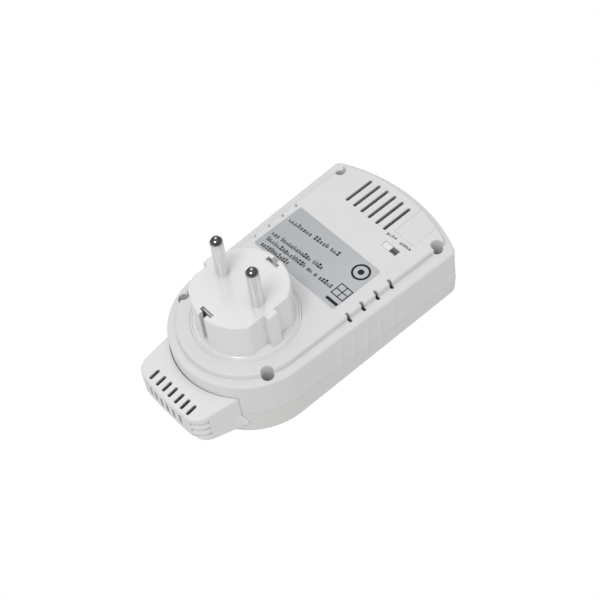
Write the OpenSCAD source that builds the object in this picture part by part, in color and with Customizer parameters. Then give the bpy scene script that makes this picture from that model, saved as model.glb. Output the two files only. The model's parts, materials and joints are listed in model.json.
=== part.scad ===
// Plug-in thermostat adapter: a two-part case with a round grounded plug on the
// rear, a matching socket on the front, a display with push buttons above it and
// a vented temperature-sensor box on the plug end.
// Frame: X across the width (line of the two pins), +Y to the rear (the way the
// pins point), +Z along the case towards the display end. The origin is midway
// between the pins in the engagement face of the plug. Millimetres.

/* [Plug] */
// Radius of the solid round pins
pin_r = 2.4; // [2.35:0.01:2.42]
// Length of a pin beyond the plug face
pin_len = 19; // [18.5:0.1:19.5]
// Distance between the pin axes
pin_pitch = 19; // [18.8:0.1:19.2]
// Radius of the round plug body
plug_r = 17.9; // [17.6:0.1:18.4]
// Distance from the plug axis to the two side flats
flat_x = 15.45; // [15:0.05:15.8]
// Width of the lug in the middle of each flat
lug_w = 4.3; // [3.5:0.1:4.6]
// Radius of the flange ring round the plug body
flange_r = 20.3; // [20:0.1:20.6]

/* [Case] */
// Radius of the rounded plug end of the case
end_r = 29.2; // [28.8:0.1:30]
// Half-width gained per millimetre towards the display end
taper = 0.04; // [0.03:0.005:0.045]
// Height of the display end above the plug axis
top_z = 82.9; // [82:0.1:84]
// Radius of the shallow arc that closes the display end
top_R = 71.2; // [66:0.2:76]
// Corner radius at the display end
corner_r = 3.4; // [2.6:0.1:4]
// Wall thickness of both shells
wall = 2.2; // [2:0.1:2.4]
// Depth from the plug face to the raised plateau of the rear shell
plateau_d = 17.55; // [17.3:0.05:17.8]
// Drop from the plateau to the ledge round it
ledge_drop = 2.65; // [2.4:0.05:2.8]
// Depth from the plug face to the parting line
part_d = 37.5; // [37:0.1:38]
// Depth from the plug face to the front face, level with the plug axis
front_d = 51; // [50.6:0.1:51.6]
// Slope of the front face in degrees
front_tilt = 3.2; // [3:0.1:3.4]
// Radius of the rounded front edge
front_fillet = 4; // [3:0.2:4.4]

/* [Controls] */
// Travel of the heating / cooling slide switch
switch_travel = 3.4; // [3:0.1:3.5]
// Stand-out of the push buttons
button_out = 0.9; // [0.6:0.1:1.2]

/* [Socket] */
// Radius of the socket recess
cup_r = 19.75; // [19.6:0.05:19.9]
// Depth of the socket recess
cup_depth = 17.5; // [17.3:0.1:17.7]
// Radius of the pin entry holes
entry_r = 2.75; // [2.6:0.05:2.9]

/* [Hidden] */
$fn = 64;

// ranges and points: a range is [low, high]
function about(middle, size) = [middle - size / 2, middle + size / 2];
function grow(range, by) = [range[0] - by, range[1] + by];
// the two points at x and -x
function pair(x, z) = [[x, z], [-x, z]];
centre = [0, 0];

// Y of the main faces
plateau_y = -plateau_d;
ledge_y = -(plateau_d + ledge_drop);
part_y = -part_d;
front_y = -front_d;
// half of the gap between the shells
part_gap = 0.04;
// how much further the display end reaches at the parting line than at the ledge
end_draft = 0.9;
// plateau outline, inside the ledge
plateau_r = 25.7;
plateau_taper = 0.02;
plateau_arc_r = 68.5;
plateau_top_z = top_z - 2.7;
plateau_corner_r = 3;

// socket ring, its front face proud of the case, and the recess floor
ring_d = front_d + 1.2;
ring_y = -ring_d;
floor_d = ring_d - cup_depth;
floor_y = -floor_d;
floor_t = 2;
collar_r = 21.9;

// pins and their inner ends
pins_at = pair(pin_pitch / 2, 0);
shank_end_y = -9.2;
// earth strap and clip bridge meet here
earth_joint_y = -23.2;
strip_t = 0.8;

// case screws
lower_screws_at = pair(23.5, -10.2);
upper_screws_at = pair(26.3, 71);
case_screws_at = concat(lower_screws_at, upper_screws_at);
head_recess_r = 2.35;
head_y = -31;
rear_post_r = 3.6;
front_post_r = 3.2;

// main board faces and its screws
board_rear = -24.4;
board_front = -26.0;
board_screws_at = pair(23.2, 54);
// display board faces, depths inward from the sloped front face, and its posts
display_rear = 8.0;
display_front = 6.8;
display_posts_at = concat(pair(20.3, 30.2), pair(20.3, 50.2));

// low ribs on the long sides
rib_z = [18, 24.4, 30.8, 37.2, 43.6];
rib_r = 2.4;
// vents: X and top Z of the upright slots, Z of the short slots on each side
vent_slots = [[13.5, 76.0], [9.4, 76.5], [5.35, 76.85], [1.3, 77.0], [-2.8, 76.9], [-6.9, 76.4]];
side_vent_z = [26.3, 33.2, 40.1, 47.1];

// switch window and the knob that slides in it
switch_x = [-19.0, -11.6];
switch_z = 57.95;
switch_h = 2.8;
knob_play = 0.15;
knob_w = switch_x[1] - switch_x[0] - switch_travel - knob_play;
knob_x = [switch_x[1] - 0.1 - knob_w, switch_x[1] - 0.1];
// blanking plate seat and the pocket under it
blank_x = [-20.6, -10.4];
blank_z = 64.6;

// front window, LCD frame and the line round the button field
lens_x = [-22, 22];
lens_z = [52.3, 76.3];
lcd_x = [-21.8, 21.8];
lcd_z = [53, 76];
glass_rear = 4.7;
field_x = [-23.4, 23.4];
field_z = [27.2, 78.0];
led_z = 50.2;
// push buttons: x, z, width, height, corner radius
buttons = [
  [-14.5, 44, 11, 5.8, 1.6], [0, 44, 11, 5.8, 1.6], [14.5, 44, 11, 5.8, 1.6],
  [-10.2, 33.6, 15, 6.4, 2], [10.2, 33.6, 15, 6.4, 2]];

// neck of the sensor box and its clearance in the case wall
neck_w = 18;
neck_y = [-40, -31];
neck_gap = 0.15;

white = [0.86, 0.87, 0.87];
offwhite = [0.83, 0.84, 0.83];
metal = [0.78, 0.78, 0.76];
brass = [0.72, 0.58, 0.30];
green = [0.10, 0.33, 0.20];
dark = [0.12, 0.12, 0.13];
grey = [0.62, 0.64, 0.66];

// ---------- helpers ----------
// extrude a shape drawn in (X, Z) between two Y values
module slab(rear, front)
  translate([0, rear, 0]) rotate([90, 0, 0]) linear_extrude(height = rear - front) children();
// thin slice, a station of a hull
module sheet(rear) slab(rear, rear - 0.02) children();
// frame on the sloped front face: +Y inward, Z up the slope
module front_frame() translate([0, front_y, 0]) rotate([-front_tilt, 0, 0]) children();
// cylinder along Y, centred on the point at = [x, z]
module rod(at, rear, front, radius, facets = 48)
  translate([at.x, rear, at.y]) rotate([90, 0, 0])
    cylinder(h = rear - front, r = radius, $fn = facets);
module block(x, y, z)
  translate([x[0], y[0], z[0]]) cube([x[1] - x[0], y[1] - y[0], z[1] - z[0]]);
// solid turned about the plug axis; points are [radius, depth from the plug face]
module turned(points, facets = 128)
  rotate([90, 0, 0]) rotate_extrude($fn = facets) polygon(points);
module both_x() for (flip = [0, 1]) mirror([flip, 0, 0]) children();
module both_z() for (flip = [0, 1]) mirror([0, 0, flip]) children();
module at_pin(side) translate([side * pin_pitch / 2, 0, 0]) children();
module rounded_rect(x, z, corner) {
  translate([x[0] + corner, z[0]]) square([x[1] - x[0] - 2 * corner, z[1] - z[0]]);
  translate([x[0], z[0] + corner]) square([x[1] - x[0], z[1] - z[0] - 2 * corner]);
  for (corner_x = grow(x, -corner), corner_z = grow(z, -corner))
    translate([corner_x, corner_z]) circle(r = corner, $fn = 24);
}
// upright slot with round ends
module slot_2d(x, z, width) {
  translate([x - width / 2, z[0] + width / 2]) square([width, z[1] - z[0] - width]);
  for (end_z = grow(z, -width / 2)) translate([x, end_z]) circle(d = width, $fn = 24);
}
// round rod through a list of points
module wire(points, radius) for (i = [0:len(points) - 2]) hull() {
  translate(points[i]) sphere(r = radius, $fn = 12);
  translate(points[i + 1]) sphere(r = radius, $fn = 12);
}
// points of an arc, without its last one
function arc_pts(middle, radius, from, to, steps) = [
  for (i = [0:steps - 1])
    let (angle = from + (to - from) * i / steps)
    middle + radius * [cos(angle), sin(angle)]];
// outline: round plug end, tapering sides, shallow arc with rounded corners.
// The corner centre lies inside the side line and inside the arc by the corner
// radius, which gives a quadratic in its z.
function outline_pts(radius, slope, arc_r, top, corner) =
  let (
    arc_z = top - arc_r,
    reach = (radius - corner) * sqrt(1 + slope * slope),
    square_term = 1 + slope * slope,
    linear_term = 2 * reach * slope - 2 * arc_z,
    constant_term = reach * reach + arc_z * arc_z - pow(arc_r - corner, 2),
    root = sqrt(linear_term * linear_term - 4 * square_term * constant_term),
    corner_z = (root - linear_term) / (2 * square_term),
    corner_x = reach + slope * corner_z,
    lean = atan(slope),
    meet = atan2(corner_z - arc_z, corner_x))
  concat(
    arc_pts([0, 0], radius, -lean, lean - 180, 76),
    [[-radius * cos(lean), -radius * sin(lean)]],
    arc_pts([-corner_x, corner_z], corner, 180 + lean, 180 - meet, 9),
    arc_pts([0, arc_z], arc_r, 180 - meet, meet, 24),
    arc_pts([corner_x, corner_z], corner, meet, -lean, 9),
    [[corner_x + corner * cos(lean), corner_z - corner * sin(lean)]]);
// longer extends the display end
module case_outline(inset = 0, longer = 0)
  polygon(outline_pts(end_r - inset, taper, top_R - inset, top_z - inset + longer,
    max(corner_r - inset, 0.5)));
module plateau_outline(inset = 0)
  polygon(outline_pts(plateau_r - inset, plateau_taper, plateau_arc_r - inset,
    plateau_top_z - inset, max(plateau_corner_r - inset, 0.5)));
// plateau with a rounded edge; face is the Y of its outermost sheet
module plateau_solid(face, front) hull() {
  sheet(face) plateau_outline(0.5);
  sheet(plateau_y - 0.15) plateau_outline(0.15);
  slab(plateau_y - 0.5, front) plateau_outline();
}
module screw_posts_2d(radius)
  for (at = case_screws_at) translate(at) circle(r = radius, $fn = 48);
// ribs along both long sides; fade = 1 adds a tapered end at the rear, -1 at the front
module ribs(rear, front, fade)
  for (z = rib_z, side = [-1, 1]) translate([side * (end_r + taper * z - 2.1), 0, z]) {
    rod(centre, rear, front, rib_r, 40);
    translate([0, (fade > 0 ? rear : front) - 0.01 * fade, 0]) rotate([-90 * fade, 0, 0])
      cylinder(h = 1.6, r1 = rib_r, r2 = 2.06, $fn = 40);
  }
// cross recess of a screw head
module cross_recess(length, y, width)
  for (turn = [0, 90]) rotate([0, turn, 0]) block(about(0, length), y, about(0, width));

// ---------- rear shell ----------
// ledge edge: [drop from the ledge, inset]
ledge_edge = [[0, 0.9], [0.12, 0.45], [0.45, 0.12]];
rebate_inset = 1.2;
module rear_solid() {
  hull() {
    for (step = ledge_edge) sheet(ledge_y - step[0]) case_outline(step[1]);
    slab(ledge_y - 0.9, part_y + part_gap) case_outline();
    slab(part_y + 0.3, part_y + part_gap) case_outline(0.04, end_draft);
  }
  plateau_solid(plateau_y, ledge_y - 0.8);
  ribs(-27.2, part_y + part_gap, 1);
}
module rear_shell() color(white) difference() {
  union() {
    difference() {
      union() rear_solid();
      // inside, left solid as a post round each case screw
      slab(ledge_y - wall, part_y - 1) difference() {
        case_outline(wall);
        screw_posts_2d(rear_post_r);
      }
      slab(plateau_y - wall, part_y - 1) difference() {
        plateau_outline(wall);
        screw_posts_2d(rear_post_r);
      }
      // rebate that takes the front shell's lip
      slab(part_y + 1.3, part_y - 1) case_outline(rebate_inset);
    }
    // posts for the main board
    for (at = board_screws_at) rod(at, ledge_y - 1, board_rear + 0.02, 2.6);
  }
  for (at = case_screws_at) {
    rod(at, plateau_y + 1, head_y, head_recess_r);
    rod(at, head_y + 0.5, part_y - 1, 1.7);
  }
  for (at = board_screws_at) rod(at, ledge_y - 3, board_rear - 1, 1.0);
  // seat of the plug flange
  rod(centre, plateau_y + 1, part_y, flange_r + 0.06, 128);
  // upright vents near the display end, short ones across the step on both sides
  for (slot = vent_slots)
    slab(plateau_y + 1, ledge_y - wall - 1) slot_2d(slot[0], [62.3, slot[1]], 1.4);
  for (z = side_vent_z, side = [-1, 1])
    slab(plateau_y + 1, ledge_y - wall - 1)
      translate([0, z]) rotate(-90 * side) slot_2d(0, [24.8, 27.8], 1.3);
  // window of the slide switch
  block(switch_x, [ledge_y - 3, plateau_y + 1], about(switch_z, switch_h));
  // seat of the blanking plate, with a pocket through the wall under it
  block(blank_x, [plateau_y - 1.35, plateau_y + 1], [blank_z, top_z]);
  block(grow(blank_x, -1.2), [ledge_y - 3, plateau_y], [blank_z + 1.2, blank_z + 9.5]);
  // opening for the neck of the sensor box
  block(about(0, neck_w + 2 * neck_gap), [part_y - 1, neck_y[1] + neck_gap], [-32, -22]);
}

// ---------- front shell ----------
// inner front edge: [depth beyond the wall, inset beyond the wall]
inner_edge = [[1.8, 0], [0.5, 0.5], [0.02, 1.8]];
module fillet_sheet(angle)
  front_frame() sheet(front_fillet * (1 - sin(angle)) + 0.02)
    case_outline(front_fillet * (1 - cos(angle)), end_draft);
module front_cuts() {
  // opening round the socket collar
  rod(centre, -40, ring_y - 2, collar_r + 0.15, 128);
  front_frame() {
    // window: lens seat, then the viewing opening
    slab(1.35, -1) rounded_rect(lens_x, lens_z, 2);
    slab(4, -1) rounded_rect(grow(lens_x, -2.5), grow(lens_z, -2.5), 1);
    for (key = buttons) slab(5, -1) button_outline(key, 0.2);
    slab(5, -1) translate([0, led_z]) circle(r = 1.6, $fn = 32);
    // groove round the window and button field
    slab(0.35, -1) difference() {
      rounded_rect(field_x, field_z, 3);
      rounded_rect(grow(field_x, -0.5), grow(field_z, -0.5), 2.6);
    }
  }
}
module front_shell() color(offwhite) difference() {
  union() {
    difference() {
      union() {
        hull() {
          sheet(part_y - part_gap) case_outline(0, end_draft);
          for (angle = [0, 22.5, 45, 67.5, 90]) fillet_sheet(angle);
        }
        ribs(part_y - part_gap, -40, -1);
      }
      // inside, left solid as a post round each case screw
      difference() {
        hull() {
          slab(part_y + 1, part_y) case_outline(wall);
          for (step = inner_edge)
            front_frame() sheet(wall + step[0]) case_outline(wall + step[1]);
        }
        for (at = case_screws_at) rod(at, part_y + 3, front_y - 3, front_post_r);
      }
    }
    // lip and post heads that enter the rear shell
    slab(part_y + 1.15, part_y - 0.6) intersection() {
      case_outline(rebate_inset + 0.15);
      union() {
        screw_posts_2d(front_post_r);
        difference() {
          translate([-50, -50]) square([100, 150]);
          case_outline(wall - 0.15);
        }
      }
    }
    for (at = display_posts_at) front_frame() rod(at, display_front - 0.02, 1, 2.1, 32);
  }
  // screw holes
  for (at = case_screws_at) rod(at, part_y + 2, front_y + 6.5, 1.42, 32);
  for (at = display_posts_at) front_frame() rod(at, display_front + 1, 2.4, 0.95, 24);
  front_cuts();
  block(about(0, neck_w + 2 * neck_gap), [neck_y[0] - neck_gap, part_y + 3], [-32, -22]);
}

// ---------- plug ----------
// squares that cut the side flats, leaving the lug between them
flat_cut = [5, 12];
module plug_outline() difference() {
  circle(r = plug_r, $fn = 128);
  for (x = [flat_x, -flat_x - flat_cut.x], y = [lug_w / 2, -lug_w / 2 - flat_cut.y])
    translate([x, y]) square(flat_cut);
}
module plug_body() color(white) difference() {
  union() {
    // body with a small chamfer at the engagement face
    intersection() {
      slab(0, plateau_y) plug_outline();
      turned([
        [0, 0], [plug_r - 0.5, 0], [plug_r - 0.15, 0.15],
        [plug_r, 0.5], [plug_r + 1, 40], [0, 40]]);
    }
    // flange with a shallow groove near its rim, and a foot round the body
    turned([
      [0, plateau_d - 1.2], [plug_r - 1, plateau_d - 1.2],
      [plug_r + 0.1, plateau_d - 0.25], [plug_r + 0.55, plateau_d + 0.02],
      [flange_r - 1.05, plateau_d + 0.02], [flange_r - 0.95, plateau_d + 0.2],
      [flange_r - 0.75, plateau_d + 0.2], [flange_r - 0.65, plateau_d + 0.02],
      [flange_r - 0.1, plateau_d + 0.02], [flange_r, plateau_d + 0.12],
      [flange_r, plateau_d + 2.3], [21.85, plateau_d + 2.3],
      [21.85, plateau_d + 3.8], [0, plateau_d + 3.8]]);
  }
  // hollow inside
  rod(centre, shank_end_y, -30, 12.9, 64);
  for (at = pins_at) rod(at, 1, -12, 2.02, 32);
  // earth slots: wide pocket for the strip, narrow mouth through the side
  both_z() {
    block(about(0, 5.8), [-15, 1], [14.35, 16.05]);
    block(about(0, 5.8), [-30, 1], [14.35, 15.3]);
    block(about(0, 2.7), [-14.6, 1], [15, 25]);
  }
}
tip_len = 2;
tip_sphere_r = 2.65;
module pin() {
  // cylindrical shaft with a domed tip
  rotate([-90, 0, 0]) cylinder(h = pin_len - tip_len, r = pin_r, $fn = 64);
  intersection() {
    translate([0, pin_len - tip_sphere_r, 0]) sphere(r = tip_sphere_r, $fn = 96);
    rod(centre, pin_len + 1, pin_len - tip_len, pin_r, 64);
  }
  // shank in the plug body and solder tail
  rod(centre, 0, shank_end_y, 1.99, 32);
  rod(centre, shank_end_y, shank_end_y - 3, 1.2, 32);
}
module pin_live() color(metal) at_pin(1) pin();
module pin_neutral() color(metal) at_pin(-1) pin();

// ---------- earth path ----------
strap_w = 5.2;
strap_z = [14.4, 15.2];
clip_w = 4.6;
clip_end_y = -45.6;
clip_z = 23.3;
// contact face bent into the recess: [y, z]
clip_profile = [
  [-45.6, 18.2], [-41.2, 16.2], [-37.0, 18.0], [-36.0, 21.4], [-36.7, 21.6],
  [-37.5, 18.6], [-41.2, 16.95], [-45.0, 18.9], [-45.6, 18.9]];
module rivet_hole() rod(centre, -20, -25, 1.25, 24);
module plug_earth_strap() color(brass) difference() {
  union() {
    both_z() block(about(0, strap_w), [-22.45, -0.8], strap_z);
    block(about(0, strap_w), [earth_joint_y, earth_joint_y + strip_t],
      about(0, 2 * strap_z[1]));
  }
  rivet_hole();
}
module socket_earth_clips() color(brass) difference() {
  union() {
    block(about(0, 5), [earth_joint_y - strip_t, earth_joint_y], about(0, 2 * clip_z));
    both_z() {
      block(about(0, clip_w), [clip_end_y, -23.3], [clip_z - strip_t, clip_z]);
      block(about(0, clip_w), [clip_end_y, clip_end_y + strip_t], [18.6, 22.6]);
      rotate([90, 0, 90]) translate([0, 0, -clip_w / 2]) linear_extrude(height = clip_w)
        polygon(clip_profile);
    }
  }
  rivet_hole();
}
module earth_rivet() color(metal) {
  rear = earth_joint_y + strip_t;
  front = earth_joint_y - strip_t;
  rod(centre, rear, front, 1.2, 24);
  rod(centre, rear + 0.8, rear, 2.1, 24);
  rod(centre, front, front - 0.8, 2.1, 24);
}

// ---------- socket ----------
barrel_r = 21.6;
hub_r = 1.98;
carrier_r = 14.9;
contact_r = 3.0;
shutter_rear = -31.2;
shutter_front = -32.6;
spring_y = -30.75;
module socket_insert() color(white) difference() {
  union() {
    turned([
      [0, floor_d - floor_t], [barrel_r, floor_d - floor_t],
      [barrel_r, 45.6], [23.2, 45.6], [23.2, 47.2], [collar_r, 47.2],
      [collar_r, ring_d - 0.7], [collar_r - 0.2, ring_d - 0.2], [collar_r - 0.7, ring_d],
      [cup_r + 0.8, ring_d], [cup_r + 0.2, ring_d - 0.25], [cup_r, ring_d - 0.8],
      [cup_r, floor_d], [0, floor_d]]);
    // guide ridges above and below the pin line, set back from the rim
    both_x() both_z() intersection() {
      slab(floor_y + 0.5, ring_y + 2.2) translate([16, 2.45]) square([5, 6.5]);
      rod(centre, floor_y + 1, ring_y, 20.5, 64);
    }
    // hub of the shutter
    rod(centre, -30.0, floor_y + floor_t - 0.5, hub_r, 32);
  }
  for (at = pins_at) rod(at, -25, floor_y - 1, entry_r, 32);
  // shallow centre mark
  rod(centre, floor_y + 0.3, floor_y - 1, 1.2, 32);
  // windows for the earth clips
  both_z() block(about(0, 5.5), [-46.5, floor_y - 0.6], [17, 25]);
  // notches round the lower case screw posts
  for (at = lower_screws_at) rod(at, -44, -49, 3.6);
  // blind holes in the rear of the floor
  for (at = pair(12.5, 12.5)) rod(at, -25, floor_y + 0.9, 0.9, 24);
}
module contact_carrier() color(offwhite) difference() {
  union() {
    slab(-28.1, -29.95) circle(r = carrier_r, $fn = 96);
    // rim that bears on the cup floor
    slab(-29, -32.65) difference() {
      circle(r = carrier_r, $fn = 96);
      circle(r = carrier_r - 1.3, $fn = 96);
    }
  }
  for (at = pins_at) rod(at, -27, -34, contact_r + 0.1, 48);
  rod(centre, -27, -34, 2.1, 32);
}
// split collar round a pin, with a solder lug standing off it
module contact() {
  difference() {
    rod(centre, -16.6, -29.9, contact_r, 48);
    rod(centre, -15, -31, 2.45, 48);
    block(about(0, 0.7), [-27, -10], [-4, 4]);
  }
  difference() {
    block(about(0, 3.2), [-27.9, -27.1], [2.6, 8.5]);
    rod([0, 6.8], -26, -29, 0.8, 24);
  }
}
module contact_live() color(brass) at_pin(1) contact();
module contact_neutral() color(brass) at_pin(-1) contact();
module shutter() color([0.88, 0.88, 0.86]) difference() {
  union() {
    rod(centre, shutter_rear, shutter_front, 4.2, 48);
    for (at = pins_at) rod(at, shutter_rear, shutter_front, 3.5, 48);
    block([-9.1, 9.1], [shutter_front, shutter_rear], [-2, 2]);
  }
  rod(centre, -30, -34, hub_r + 0.05, 32);
}
module shutter_spring() color(metal) {
  translate([0, spring_y, 0]) rotate([90, 0, 0]) rotate_extrude($fn = 48)
    translate([2.55, 0]) circle(r = 0.22, $fn = 16);
  // two legs splayed from the ring
  for (side = [-1, 1]) translate([side * 2.5, spring_y, 0]) rotate([0, side * 15, 0])
    cylinder(h = 6.8, r = 0.2, $fn = 16);
}

// ---------- main board and its parts ----------
electrolytic_at = [19.4, 35];
varistor_at = [18.5, 47.2];
cell_at = [-11, 67];
fuse_y = board_front - 3.6;
fuse_z = 54.4;
// first controller lead and the step between leads
lead_z = 61.9;
lead_pitch = 1.1;
// extrude a footprint forward from the main board
module on_board(height) slab(board_front, board_front - height) children();
module main_board() color(green) difference() {
  slab(board_rear, board_front) rounded_rect([-26, 26], [27, 75.8], 1.5);
  for (at = upper_screws_at) rod(at, -20, -30, 4.4);
  for (at = board_screws_at) rod(at, -20, -30, 1.3, 24);
  // upper corners cut away
  for (x = [24, -34]) slab(-20, -30) translate([x, 66]) square([10, 20]);
}
module relay() color([0.16, 0.20, 0.30]) {
  on_board(12.4) rounded_rect([-24.2, -8.6], [30, 49.4], 0.6);
  for (x = [-22, -11]) rod([x, 33], board_rear + 1, board_rear, 0.6, 16);
}
module suppression_capacitor() color([0.80, 0.72, 0.28])
  on_board(12) rounded_rect([-5.6, 12.4], [37, 45.4], 0.8);
module electrolytic_capacitor() color([0.10, 0.11, 0.16]) difference() {
  rod(electrolytic_at, board_front, board_front - 12.2, 5, 48);
  rod(electrolytic_at, board_front - 11.9, board_front - 13, 3.6, 48);
}
module varistor() color([0.20, 0.35, 0.62])
  translate([varistor_at.x, board_front - 5.6, varistor_at.y]) {
    cylinder(h = 3.6, r = 5, $fn = 48);
    for (x = [-2.5, 2.5]) translate([x, 0, 1.8]) rotate([-90, 0, 0])
      cylinder(h = 5.6, r = 0.4, $fn = 16);
  }
module fuse_body() color([0.80, 0.84, 0.84])
  translate([-6.5, fuse_y, fuse_z]) rotate([0, 90, 0]) difference() {
    cylinder(h = 14, r = 2.4, $fn = 32);
    translate([0, 0, -1]) cylinder(h = 16, r = 1.9, $fn = 32);
  }
module fuse_caps() color(metal) for (x = [-11.6, 7.6]) {
  translate([x, fuse_y, fuse_z]) rotate([0, 90, 0]) cylinder(h = 5, r = 2.6, $fn = 32);
  block([x + 1.8, x + 3.2], [fuse_y, board_front], about(fuse_z, 1.4));
}
module controller_chip() color(dark) {
  slab(board_front - 0.15, board_front - 1.7) rounded_rect([5, 15], [61, 71], 0.3);
  for (i = [0:7]) let (z = lead_z + i * lead_pitch)
    block([4, 16], [board_front - 0.35, board_front], [z, z + 0.45]);
}
module backup_cell() color(metal) {
  rod(cell_at, board_front - 0.4, board_front - 3.6, 6.2, 48);
  rod(cell_at, board_front, board_front - 0.4, 5.2, 48);
}
module sensor_connector() color([0.90, 0.88, 0.80]) difference() {
  on_board(5) rounded_rect([1.2, 8.4], [28, 33.4], 0.4);
  block([2.4, 7.1], [board_front - 3.2, board_front - 0.6], [27, 31]);
}

// ---------- display and buttons ----------
module display_board() color(green) front_frame() difference() {
  slab(display_rear, display_front) rounded_rect([-22.6, 22.6], [27.4, 77.4], 1);
  for (at = display_posts_at) rod(at, 12, 2, 1.15, 24);
}
module lcd_frame() color([0.90, 0.90, 0.88]) front_frame()
  slab(display_front, 2.5) difference() {
    rounded_rect(lcd_x, lcd_z, 1);
    rounded_rect(grow(lcd_x, -1.2), grow(lcd_z, -1.2), 0.6);
  }
module lcd_glass() color([0.55, 0.60, 0.50]) front_frame()
  slab(glass_rear, 2.7) rounded_rect(grow(lcd_x, -1.4), grow(lcd_z, -1.4), 0.3);
module zebra_strips() color(dark) front_frame() for (z = [56, 73])
  slab(display_front, glass_rear) translate([-19, z - 0.9]) square([38, 1.8]);
module window_lens() color([0.75, 0.78, 0.78, 0.5]) front_frame()
  slab(1.3, 0.1) rounded_rect(grow(lens_x, -0.15), grow(lens_z, -0.15), 1.85);
module button_outline(key, margin = 0, corner_trim = 0)
  rounded_rect(about(key[0], key[2] + 2 * margin), about(key[1], key[3] + 2 * margin),
    key[4] - corner_trim);
// cap in two steps, and a retaining flange behind the wall
module button(key) front_frame() {
  slab(2.6, -button_out + 0.35) button_outline(key);
  slab(-button_out + 0.4, -button_out) button_outline(key, -0.35, 0.35);
  slab(3.25, wall + 0.12) button_outline(key, 0.75);
}
module button_mode() color(grey) button(buttons[0]);
module button_up() color(grey) button(buttons[1]);
module button_down() color(grey) button(buttons[2]);
module button_program() color(grey) button(buttons[3]);
module button_set() color(grey) button(buttons[4]);
module key_switches() color(dark) front_frame() for (key = buttons) {
  slab(display_front, 4.6) rounded_rect(about(key[0], 6), about(key[1], 6), 0.4);
  rod([key[0], key[1]], 4.7, 4.0, 1.6, 32);
}
module status_led() color([0.75, 0.16, 0.10]) front_frame() {
  rod([0, led_z], 5.2, 0.6, 1.5, 32);
  translate([0, 0.6, led_z]) sphere(r = 1.5, $fn = 32);
  rod([0, led_z], display_front, 5.1, 1.9, 32);
}

// ---------- rear controls, label ----------
module switch_body() color(dark) difference() {
  union() {
    slab(-19.9, board_rear) rounded_rect(grow(switch_x, 1.3), about(switch_z, 5.1), 0.3);
    // apron that fills the window under the knob
    slab(plateau_y - 0.6, -20)
      rounded_rect(grow(switch_x, -0.05), about(switch_z, switch_h - 0.1), 0.2);
  }
  // track of the knob
  block(grow(switch_x, -0.25), [-22.6, plateau_y], about(switch_z, 0.4));
}
// thumb plate in the window, and the stem in the track
module switch_knob() color(white) {
  slab(plateau_y - 0.08, plateau_y - 0.56) rounded_rect(knob_x, about(switch_z, 2.6), 0.25);
  slab(plateau_y - 0.3, -22.3) rounded_rect(grow(knob_x, -0.6), about(switch_z, 0.3), 0.05);
}
module blanking_plate() color(white) intersection() {
  plateau_solid(plateau_y - 0.02, ledge_y);
  union() {
    block(grow(blank_x, -0.045), [plateau_y - 1.33, plateau_y + 1], [blank_z + 0.045, top_z]);
    block(grow(blank_x, -1.35), [ledge_y + 0.02, plateau_y - 1],
      [blank_z + 1.35, blank_z + 9.3]);
  }
}
module rating_label() color(grey)
  slab(plateau_y + 0.14, plateau_y) rounded_rect([-20.6, 23.4], [24.1, 47.95], 1.0);

// ---------- sensor box ----------
sensor_rear = -27;
sensor_front = -46;
sensor_wall = 1.6;
// bore that fits round the case: centre and radius; inner limit of the hollow
bore_at = [0.17, -0.03];
bore_r = 29.41;
hollow_r = 31.4;
// outline in (X, Z): side points, corner circle, shallow end arc and where they meet
sensor_side = [[20.0, -18], [19.6, -22.4], [18.35, -30]];
box_corner = [11.4, -33.6];
box_corner_r = 6.5;
corner_start = 4;
end_arc_z = 54.25;
end_arc_r = 95;
end_arc_half = 6.9;
// front and sloping underside: [y, z]
sensor_underside = [
  [-46, -10], [-46, -22.5], [-44.9, -24.9], [-43.9, -28.5], [-42.9, -32.5], [-41.7, -35.8],
  [-40.5, -38.1], [-39.3, -39.5], [-38.2, -40.3], [-37.0, -40.8], [-37.0, -60]];
// wing that wraps the case: [x, z]
wing_outline = [
  [-18.95, -26], [-19.35, -24.3], [-19.85, -22.9], [-20.55, -21.7], [-21.45, -20.55],
  [-20.5, -20.3], [-17, -26]];
// X of the slots in the rear face and in the end face
rear_slot_x = [-11.5, -8.05, -4.7, -1.0, 2.3, 5.8, 9.6];
end_slot_x = [-8.5, -5.0, -1.6, 1.75, 5.1, 8.2];
louvre_d = [30.0, 33.8, 37.6];
function sensor_pts(inset) =
  let (radius = box_corner_r - inset, left = [-box_corner.x, box_corner.y])
  concat(
    [for (p = sensor_side) [p.x - inset, p.y]],
    arc_pts(box_corner, radius, -corner_start, -90 + end_arc_half, 10),
    arc_pts([0, end_arc_z], end_arc_r - inset, -90 + end_arc_half, -90 - end_arc_half, 12),
    arc_pts(left, radius, -90 - end_arc_half, corner_start - 180, 10),
    [left - radius * [cos(corner_start), sin(corner_start)]],
    [for (i = [2:-1:0]) [inset - sensor_side[i].x, sensor_side[i].y]]);
module sensor_outline(inset = 0) polygon(sensor_pts(inset));
module sensor_profile(inset)
  rotate([90, 0, 90]) translate([0, 0, -30]) linear_extrude(height = 60)
    polygon(concat(
      [[sensor_rear - inset, -60], [sensor_rear - inset, -10]],
      [for (p = sensor_underside) [p.x + inset, p.y]]));
module case_bore() rod(bore_at, 0, -60, bore_r, 160);
module sensor_shell() difference() {
  intersection() {
    hull() {
      sheet(sensor_rear) sensor_outline(0.8);
      sheet(sensor_rear - 0.2) sensor_outline(0.28);
      slab(sensor_rear - 0.8, sensor_front) sensor_outline();
    }
    sensor_profile(0);
  }
  // hollow
  intersection() {
    slab(sensor_rear - sensor_wall, sensor_front) sensor_outline(sensor_wall);
    sensor_profile(sensor_wall);
    difference() {
      rod(centre, 0, -60, 60);
      rod(centre, 1, -61, hollow_r, 96);
    }
  }
  case_bore();
}
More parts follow.
